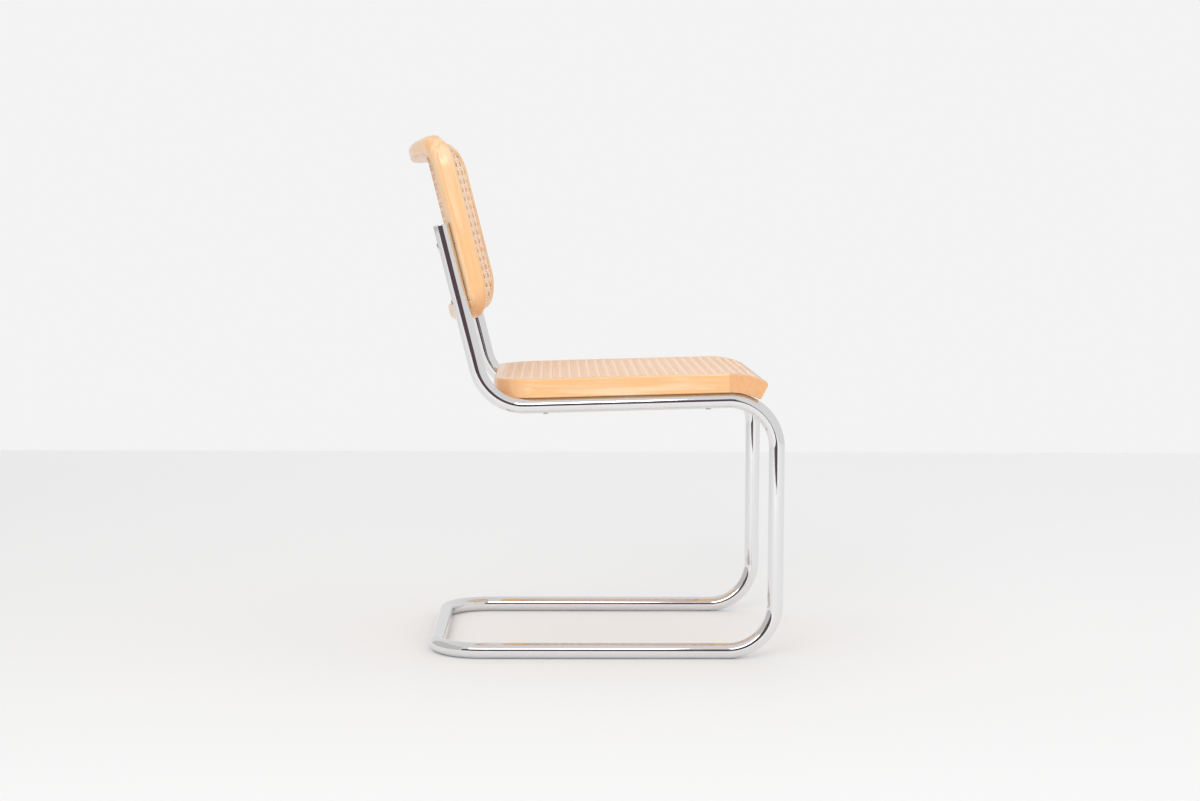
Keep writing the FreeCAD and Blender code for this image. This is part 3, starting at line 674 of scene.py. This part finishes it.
def clipped(origins, direction, outline):
    """Where lines enter and leave a convex outline: against each side, t = n.(p - o) / n.d."""
    sides = np.roll(outline, -1, axis=0) - outline
    keep = np.linalg.norm(sides, axis=1) > SAME_PLACE
    corners, sides = outline[keep], sides[keep]
    inward = np.stack([-sides[:, 1], sides[:, 0]], axis=1)
    facing = inward @ direction
    reach = (inward[None] * (corners[None] - origins[:, None])).sum(-1)
    with np.errstate(divide="ignore", invalid="ignore"):
        t = reach / facing[None]
    enter = np.where(facing > PARALLEL, t, -np.inf).max(1)
    leave = np.where(facing < -PARALLEL, t, np.inf).min(1)
    outside = ((np.abs(facing) <= PARALLEL)[None] & (reach > 0)).any(1)
    return enter, np.where(outside, -np.inf, leave)


def strands(origins, direction, offsets, heights, outline, thickness, width, dive, seed):
    """Flat strands along straight lines of a panel. A strand's height follows heights(t, row), and
    both ends turn down into the groove. Gives points (x, s, height), faces, the strand coordinates
    and the painted shade, which grows where the strand passes underneath."""
    enter, leave = clipped(origins, direction, outline)
    rows = leave - enter > 6 * width
    origins, enter, leave = origins[rows], enter[rows], leave[rows]
    along = offsets[None, :] + np.zeros((len(origins), 1))
    inner = np.clip(along, enter[:, None] + width * 0.4, leave[:, None] - width * 0.4)
    height = heights(inner, np.flatnonzero(rows)[:, None])
    t = np.concatenate([enter[:, None], enter[:, None], inner, leave[:, None], leave[:, None]], axis=1)
    end = np.full((len(origins), 1), -thickness * 0.4)
    low = np.full((len(origins), 1), -dive)
    height = np.concatenate([low, end, height, end, low], axis=1)
    tilt = np.zeros_like(t)
    tilt[:, 0], tilt[:, 1] = END_TILTS
    tilt[:, -1], tilt[:, -2] = -tilt[:, 0], -tilt[:, 1]
    moved = np.hypot(np.diff(t, axis=1), np.diff(height, axis=1)) > SAME_PLACE
    kept = np.concatenate([np.ones((len(t), 1), bool), moved], axis=1)
    across = np.array([-direction[1], direction[0]])
    lift = STRAND_SECTION[:, 1] * thickness
    centre = origins[:, None] + t[..., None] * direction
    plane = (centre[:, :, None] + STRAND_SECTION[None, None, :, :1] * width * across
             - (lift[None, None] * np.sin(tilt)[..., None])[..., None] * direction)
    up = height[..., None] + lift[None, None] * np.cos(tilt)[..., None]
    grid = np.concatenate([plane, up[..., None]], axis=-1)
    strand = np.broadcast_to(np.arange(len(t))[:, None], t.shape)
    points = grid[kept].reshape(-1, 3)
    owner = strand[kept]
    length = t[kept]
    first = np.flatnonzero(owner[1:] == owner[:-1])
    sides = len(STRAND_SECTION)
    k = np.arange(sides)
    a = first[:, None] * sides + k
    b = first[:, None] * sides + (k + 1) % sides
    faces = np.stack([a, b, b + sides, a + sides], axis=-1).reshape(-1, 4)
    v = (owner[:, None] * 0.37 + seed) + STRAND_SECTION[None, :, 0] * width
    uv = np.stack([np.repeat(length[:, None], sides, 1) + owner[:, None] * 0.11, v], axis=-1)
    # Painted shade: the lower corners and the stretches under another strand get the brown.
    under = np.clip(-height[kept] / thickness, 0, 1)
    shade = np.clip(STRAND_SHADE[None, :] + UNDER_SHADE * under[:, None], 0, 1)
    return points, faces, uv.reshape(-1, 2), shade.ravel()


def weave(outline, pitch, width, thickness, dive):
    """The eight-sided mesh. Pairs of strands at each multiple of the pitch go up and across and
    interlace like plain cloth: height = +-(t / 2) sin(pi d / 2a) near a crossing, with d measured
    from it. Slanting strands pass half way between the crossings, over one pair and under the
    other: height = +-t cos(2 pi x / pitch), held flat where it passes a pair."""
    low, high = outline.min(0), outline.max(0)
    gap = width * PAIR_SPACING
    pairs = []
    for axis in (0, 1):
        index = np.arange(math.floor(low[axis] / pitch), math.ceil(high[axis] / pitch) + 1)
        other = np.arange(math.floor(low[1 - axis] / pitch) - 1, math.ceil(high[1 - axis] / pitch) + 2)
        offsets = (other[:, None] * pitch
                   + np.array([-2, -1, 0, 1, 2, pitch / gap / 2])[None] * gap).ravel()
        lines = (index[:, None] * pitch + np.array([-gap, gap])[None]).ravel()
        origins = np.zeros((len(lines), 2))
        origins[:, axis] = lines
        direction = np.array([0.0, 1.0]) if axis == 0 else np.array([1.0, 0.0])
        sign = 1.0 if axis == 0 else -1.0

        def heights(t, row, sign=sign):
            d = t - np.round(t / pitch) * pitch
            wave = np.where(np.abs(d) < 2 * gap, np.sin(math.pi * d / (2 * gap)), 0.0)
            return sign * np.where(row % 2 == 0, 1.0, -1.0) * wave * thickness / 2

        pairs.append((origins, direction, offsets, heights, axis))
    slants = []
    reach = np.abs(outline).sum(1).max() + pitch
    index = np.arange(-math.ceil(reach / pitch) - 2, math.ceil(reach / pitch) + 3)
    reach_steps = math.ceil(reach / pitch) * SLANT_STEPS
    for sign in (1.0, -1.0):
        direction = np.array([1.0, sign]) / math.sqrt(2)
        origins = np.stack([np.zeros(len(index)), (index + 0.5) * pitch], axis=1)
        offsets = np.arange(-reach_steps, reach_steps + 1) * pitch / SLANT_STEPS * math.sqrt(2)

        def heights(t, row, sign=sign):
            x = t / math.sqrt(2)
            return sign * thickness * np.clip(SLANT_STEEPNESS * np.cos(2 * math.pi * x / pitch), -1, 1)

        slants.append((origins, direction, offsets, heights, sign))
    out = []
    for family in (pairs, slants):
        points, faces, uvs, shades, count = [], [], [], [], 0
        for origins, direction, offsets, heights, seed in family:
            p, f, uv, shade = strands(origins, direction, offsets, heights, outline, thickness, width,
                                      dive, seed * 3.1)
            points.append(p)
            faces.append(f + count)
            uvs.append(uv)
            shades.append(shade)
            count += len(p)
        out.append([np.concatenate(each) for each in (points, faces, uvs, shades)])
    return out


class CHAIR_OT_cane(bpy.types.Operator):
    """Woven cane of the seat and the back, strand by strand"""
    bl_idname = "chair.cane"
    bl_label = "Woven cane"

    def execute(self, context):
        cane = context.scene.chair_cane
        material = cane_material("cane", tuple(cane.colour), tuple(cane.streak), tuple(cane.edge))
        thickness = CANE_THICKNESS / 3
        inset = GROOVE_WIDTH - CANE_LIP / 2
        middle = CANE_THICKNESS / 2
        for name, outline, surface in (("seat", seat_outline(inset), seat_surface),
                                       ("back", back_outline(inset), back_surface)):
            woven = weave(outline, cane.pitch, cane.width, thickness, SPLINE_HEIGHT - middle)
            for part, (points, faces, uv, shade) in zip(("pairs", "slants"), woven):
                placed = surface(points[:, 0], points[:, 1], middle - points[:, 2])
                if name == "back":
                    faces = faces[:, ::-1]
                make_piece(name + "_cane_" + part, placed, faces, material, [name + "_cane"],
                           uv, shade)
        return {"FINISHED"}


# Reeds in the grooves round the cane

REED_CLEARANCE = 0.00005
REED_CROWN = 0.0006
REED_DEPTH = 0.004


def spline_strip(outline_of, surface, width, steps=9):
    """A reed pressed into the groove: a section with a domed top, w/2 cos f by h sin f, carried
    round the outline."""
    f = np.linspace(0, math.pi, steps)
    insets = width / 2 - np.cos(f) * width / 2
    depth = REED_CROWN - REED_CROWN * np.sin(f)
    insets = np.concatenate([insets, [width, 0.0]])
    depth = np.concatenate([depth, [REED_DEPTH, REED_DEPTH]])
    rings = np.stack([outline_of(inset + REED_CLEARANCE) for inset in insets], axis=1)
    points = surface(rings[..., 0], rings[..., 1], np.broadcast_to(depth, rings.shape[:2]))
    rows, columns = points.shape[:2]
    return points, grid_faces(rows, columns, close_rows=True, close_columns=True)


class CHAIR_OT_splines(bpy.types.Operator):
    """Reed splines that hold the cane in its grooves"""
    bl_idname = "chair.splines"
    bl_label = "Splines"

    def execute(self, context):
        reed = wood_material("reed", (0, 0, 0), (0, 0, -1), (0.3, 0.9, 0.1), False)
        width = GROOVE_WIDTH - CANE_LIP - 2 * REED_CLEARANCE
        for name, outline, surface in (("seat", seat_outline, seat_surface),
                                       ("back", back_outline, back_surface)):
            points, faces = spline_strip(outline, surface, width)
            make_piece(name + "_reed", points, faces, reed, [name + "_spline"])
        return {"FINISHED"}


# Stage: floor, lights and the photograph's viewpoint

CAMERA_PLACE = (-3.70645, 0.3456 + LEG_PLANE, 0.68895)
CAMERA_LENS = 67.088
CAMERA_PITCH, CAMERA_YAW, CAMERA_ROLL = 0.08014, 0.01931, 0.00459
FLOOR_CORNERS = [(-7, -9, 0), (2.957, -9, 0), (2.957, 9, 0), (-7, 9, 0)]
FLOOR_ROUGHNESS = 0.7
DARK_CARD = [(-2.0, -0.45, 0.06), (-2.0, 2.1, 0.06), (-2.0, 2.1, 1.0), (-2.0, -0.45, 1.0)]
DARK_CARD_COLOUR = (0.105, 0.072, 0.08)
REAR_CARD = [(-2.6, 3.0, 0), (2.9, 3.0, 0), (2.9, 3.0, 3), (-2.6, 3.0, 3)]
REAR_CARD_COLOUR = (0.58, 0.57, 0.56)
CEILING_CARD = [(-3.2, -3, 3.4), (3, -3, 3.4), (3, 3, 3.4), (-3.2, 3, 3.4)]
CEILING_CARD_COLOUR = (0.74, 0.73, 0.73)
LAMP_PLACE, LAMP_AIM = (-5.2, 1.4, 2.8), (0, 0, 0.4)
LAMP_SIZE, LAMP_POWER = (3.6, 2.1), 84.0


def camera_matrix():
    """Axes from pitch, yaw and roll: the view goes along +X, down by the pitch and to -Y by the yaw."""
    cp, sp = math.cos(CAMERA_PITCH), math.sin(CAMERA_PITCH)
    cy, sy = math.cos(CAMERA_YAW), math.sin(CAMERA_YAW)
    forward = np.array([cp * cy, -cp * sy, -sp])
    right = np.array([-sy, -cy, 0.0])
    up = np.array([sp * cy, -sp * sy, cp])
    right, up = (right * math.cos(CAMERA_ROLL) + up * math.sin(CAMERA_ROLL),
                 up * math.cos(CAMERA_ROLL) - right * math.sin(CAMERA_ROLL))
    matrix = np.eye(4)
    matrix[:3, 0], matrix[:3, 1], matrix[:3, 2], matrix[:3, 3] = right, up, -forward, CAMERA_PLACE
    return Matrix(matrix.tolist())


def stage_plane(name, corners, material):
    """A flat four-sided stage piece."""
    mesh = bpy.data.meshes.new(name)
    mesh.from_pydata([tuple(c) for c in corners], [], [(0, 1, 2, 3)])
    mesh.materials.append(material)
    plane = bpy.data.objects.new(name, mesh)
    bpy.context.scene.collection.objects.link(plane)
    return plane


def plain_material(name, colour, roughness):
    material = bpy.data.materials.new(name)
    shader = node_tree(material)[1]
    shader.inputs["Base Color"].default_value = (*colour, 1.0)
    shader.inputs["Roughness"].default_value = roughness
    return material


def glowing_material(name, colour):
    """A flat colour that needs no light, for what only the reflections show."""
    material = plain_material(name, (0.0, 0.0, 0.0), 1.0)
    shader = node_tree(material)[1]
    shader.inputs["Emission Color"].default_value = (*colour, 1.0)
    shader.inputs["Emission Strength"].default_value = 1.0
    shader.inputs["Specular IOR Level"].default_value = 0.0
    return material


def reflection_card(name, corners, material):
    """A stage plane that only mirror-like rays meet."""
    card = stage_plane(name, corners, material)
    card.visible_camera = False
    card.visible_diffuse = False
    card.visible_shadow = False


def add_lamp(name, place, aim, size, power):
    lamp = bpy.data.lights.new(name, "AREA")
    lamp.shape = "RECTANGLE"
    lamp.size, lamp.size_y = size
    lamp.energy = power
    piece = bpy.data.objects.new(name, lamp)
    direction = np.asarray(aim) - np.asarray(place)
    piece.rotation_euler = Vector(direction).to_track_quat("-Z", "Y").to_euler()
    piece.location = place
    bpy.context.scene.collection.objects.link(piece)
    return piece


class CHAIR_OT_stage(bpy.types.Operator):
    """Plain pale floor, soft light and the photograph's viewpoint"""
    bl_idname = "chair.stage"
    bl_label = "Stage"

    def execute(self, context):
        scene = context.scene
        stage = scene.chair_stage
        scene.view_settings.view_transform = "Standard"
        stage_plane("floor", FLOOR_CORNERS, plain_material("floor", stage.floor, FLOOR_ROUGHNESS))
        reflection_card("dark_card", DARK_CARD, glowing_material("dark_card", DARK_CARD_COLOUR))
        reflection_card("ceiling_card", CEILING_CARD,
                        glowing_material("ceiling_card", CEILING_CARD_COLOUR))
        rear = stage_plane("rear_card", REAR_CARD, glowing_material("rear_card", REAR_CARD_COLOUR))
        rear.visible_camera = False
        world = bpy.data.worlds.new("studio")
        scene.world = world
        world.use_nodes = True
        tree = world.node_tree
        backdrop = tree.nodes["Background"]
        path = add_node(tree, "ShaderNodeLightPath")
        light = mix_colour(tree, path.outputs["Is Glossy Ray"], (stage.daylight,) * 3,
                           (stage.reflected,) * 3)
        colour = mix_colour(tree, path.outputs["Is Camera Ray"], light, tuple(stage.backdrop))
        tree.links.new(colour, backdrop.inputs["Color"])
        backdrop.inputs["Strength"].default_value = 1.0
        add_lamp("camera_side", LAMP_PLACE, LAMP_AIM, LAMP_SIZE, LAMP_POWER)
        camera = bpy.data.cameras.new("viewpoint")
        camera.lens = CAMERA_LENS
        camera.sensor_width = 36.0
        camera.sensor_fit = "HORIZONTAL"
        camera.clip_start = 0.05
        camera.clip_end = 60.0
        viewpoint = bpy.data.objects.new("viewpoint", camera)
        viewpoint.matrix_world = camera_matrix()
        scene.collection.objects.link(viewpoint)
        scene.camera = viewpoint
        return {"FINISHED"}


class CHAIR_PT_panel(bpy.types.Panel):
    """Sidebar list of the chair's pieces"""
    bl_label = "Cantilever chair"
    bl_space_type = "VIEW_3D"
    bl_region_type = "UI"
    bl_category = "Chair"

    def draw(self, context):
        scene = context.scene
        for operator in OPERATORS:
            self.layout.operator(operator.bl_idname)
        for group in ("chair_tube", "chair_wood", "chair_cane", "chair_stage"):
            settings = getattr(scene, group)
            for name in settings.__annotations__:
                self.layout.prop(settings, name)


SETTINGS = {"chair_tube": ChairTubeSettings, "chair_wood": ChairWoodSettings,
            "chair_cane": ChairCaneSettings, "chair_stage": ChairStageSettings}
OPERATORS = (CHAIR_OT_tube, CHAIR_OT_screws, CHAIR_OT_wood, CHAIR_OT_cane, CHAIR_OT_splines,
             CHAIR_OT_stage)
CLASSES = (*SETTINGS.values(), *OPERATORS, CHAIR_PT_panel)


def register():
    for each in CLASSES:
        bpy.utils.register_class(each)
    for name, group in SETTINGS.items():
        setattr(bpy.types.Scene, name, bpy.props.PointerProperty(type=group))


def unregister():
    for name in SETTINGS:
        delattr(bpy.types.Scene, name)
    for each in reversed(CLASSES):
        bpy.utils.unregister_class(each)


def main():
    register()
    bpy.ops.chair.tube()
    bpy.ops.chair.screws()
    bpy.ops.chair.wood()
    bpy.ops.chair.cane()
    bpy.ops.chair.splines()
    bpy.ops.chair.stage()


if __name__ == "__main__":
    main()
